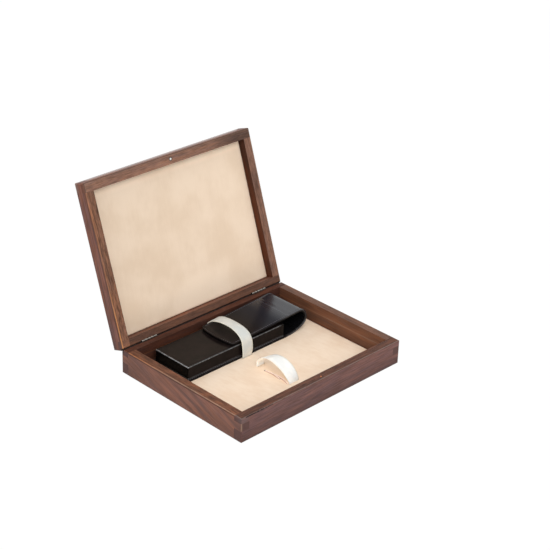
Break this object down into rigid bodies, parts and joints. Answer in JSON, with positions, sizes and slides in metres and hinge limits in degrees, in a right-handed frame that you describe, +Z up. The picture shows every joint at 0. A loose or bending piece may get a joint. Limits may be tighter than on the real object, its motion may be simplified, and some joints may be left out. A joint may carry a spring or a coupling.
{
  "type": "hinged presentation case",
  "caption": "Hinged finger-jointed wooden presentation case with padded fabric lining, ribbon straps, magnet catch and a strapped-in leather pen pouch with a fold-over flap.",
  "frame": {"origin": "centre of the base's footprint, on the plane of its underside", "axes": "+X along the hinge line to the right, +Y from the front to the hinge side, +Z up from the surface the case stands on"},
  "size_m": [0.22, 0.2396, 0.1872],
  "materials": {
    "walnut_stained_wood": "walnut-stained solid wood, satin lacquer, worn on the edges",
    "stained_panel": "walnut-stained plywood, satin lacquer",
    "grey_card": "pressed card",
    "thin_foam": "thin padding",
    "sand_lining": "soft brushed lining fabric",
    "nickel": "nickel-plated, brushed",
    "ivory_ribbon": "satin ribbon",
    "black_leather": "smooth glazed leather",
    "black_lining_leather": "matte lining leather"
  },
  "bodies": {
    "base": {"base_front_wall": "walnut_stained_wood", "base_back_wall": "walnut_stained_wood", "base_left_wall": "walnut_stained_wood", "base_right_wall": "walnut_stained_wood", "base_bottom_panel": "stained_panel", "base_lining_card": "grey_card", "base_lining_foam": "thin_foam", "base_lining_cover": "sand_lining", "base_magnet": "nickel", "pen_strap": "ivory_ribbon", "pouch_strap": "ivory_ribbon", "hinge_left_base_leaf": "nickel", "hinge_right_base_leaf": "nickel", "hinge_left_pin": "nickel", "hinge_right_pin": "nickel", "base_hinge_brads": "nickel"},
    "lid": {"lid_front_wall": "walnut_stained_wood", "lid_back_wall": "walnut_stained_wood", "lid_left_wall": "walnut_stained_wood", "lid_right_wall": "walnut_stained_wood", "lid_top_panel": "stained_panel", "lid_lining_card": "grey_card", "lid_lining_foam": "thin_foam", "lid_lining_cover": "sand_lining", "lid_magnet": "nickel", "hinge_left_lid_leaf": "nickel", "hinge_right_lid_leaf": "nickel", "lid_hinge_brads": "nickel"},
    "pouch": {"pouch_sleeve": "black_leather", "pouch_divider": "black_lining_leather", "pouch_back_strip": "black_leather", "pouch_fold_lining": "black_lining_leather"},
    "flap": {"pouch_flap": "black_leather", "pouch_flap_lining": "black_lining_leather"}
  },
  "joints": [
    {"name": "lid_hinge", "type": "hinge", "parent": "base", "child": "lid", "pos_m": [0, 0.084, 0.0268], "axis": [-1, 0, 0], "range_deg": [-109, 0]},
    {"name": "pouch_lift", "type": "slide", "parent": "base", "child": "pouch", "axis": [0, 0, 1], "range_m": [0, 0.06], "deforming": ["pouch_strap"]},
    {"name": "flap_fold", "type": "hinge", "parent": "pouch", "child": "flap", "pos_m": [0.064, 0.046, 0.0279], "axis": [0, 1, 0], "range_deg": [0, 120]}
  ],
  "couplings": [
    {"joint": "flap_fold", "follows": "pouch_lift", "rad_per_m": 34.907}
  ]
}
